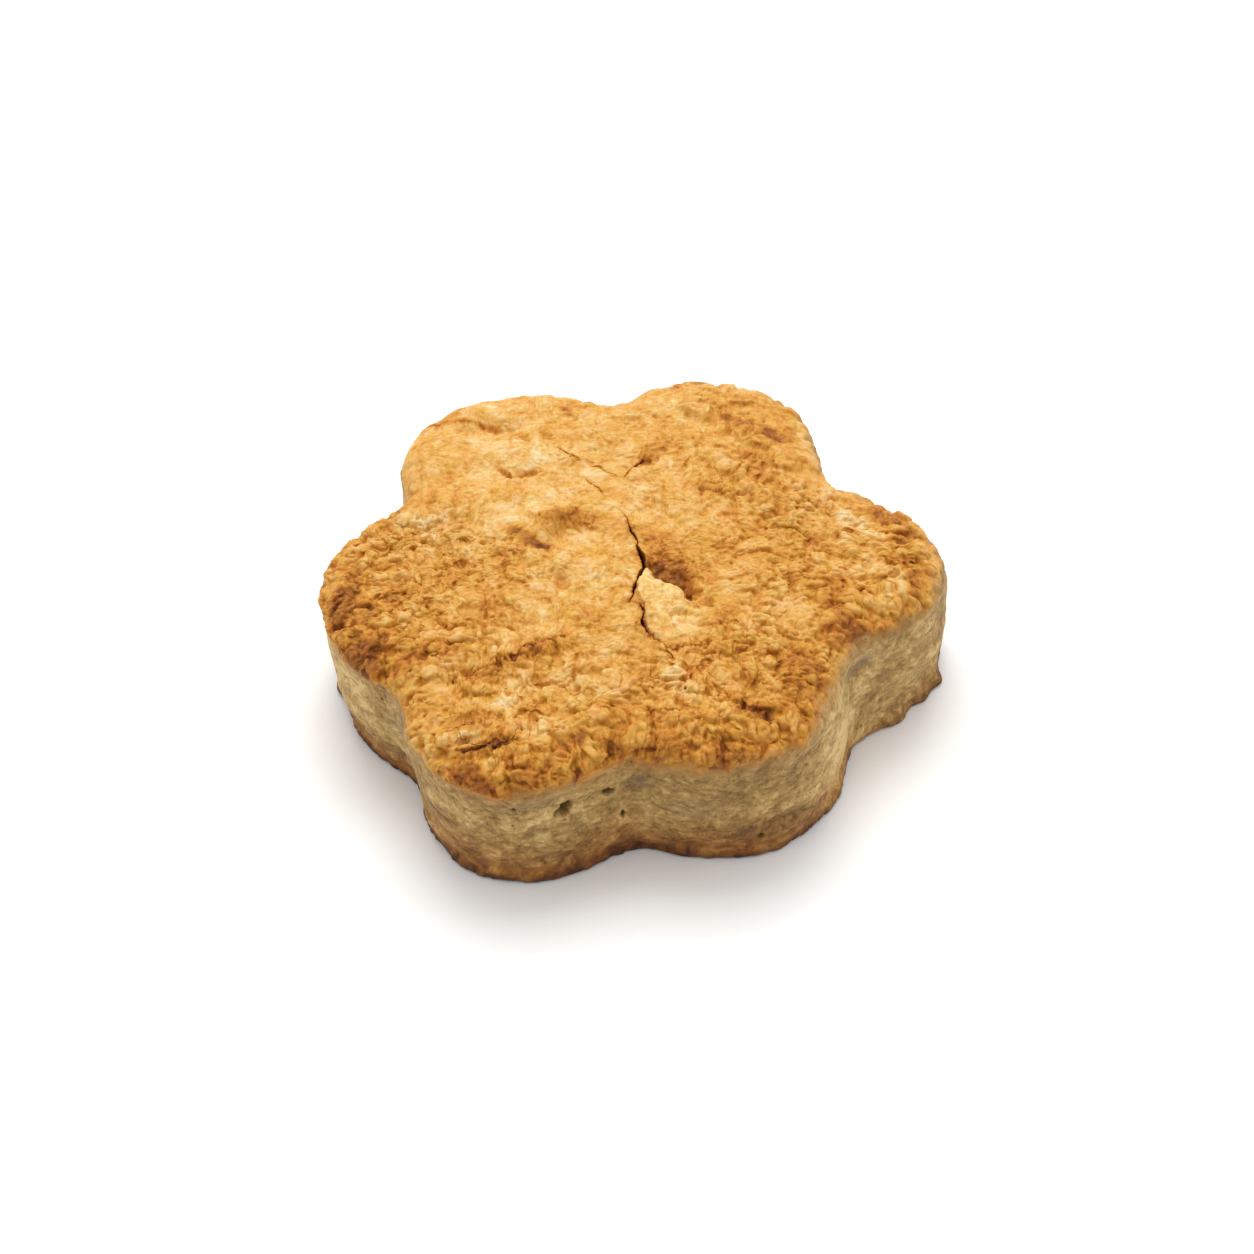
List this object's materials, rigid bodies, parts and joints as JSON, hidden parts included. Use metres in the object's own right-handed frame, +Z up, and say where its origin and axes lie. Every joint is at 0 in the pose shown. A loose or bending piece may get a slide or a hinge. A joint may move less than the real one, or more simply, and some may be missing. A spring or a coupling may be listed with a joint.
{
  "type": "butterscotch cookie",
  "caption": "Thick flower-shaped butterscotch cookie with a craggy golden crust on top, a pale upright side and a browned flat foot that it rests on",
  "frame": {"origin": "middle of the flat base, on the surface that the cookie rests on", "axes": "+Z up through the thickness; X runs across the widest pair of lobes; -Y is the front, towards the picture's camera"},
  "size_m": [0.0671, 0.0641, 0.0184],
  "materials": {
    "baked_crust": "golden brown baked crust on the top, pale crumb on the side, dark brown foot; matt, with a faint fat sheen on the crags"
  },
  "bodies": {
    "root": {"cookie": "baked_crust"}
  },
  "joints": []
}
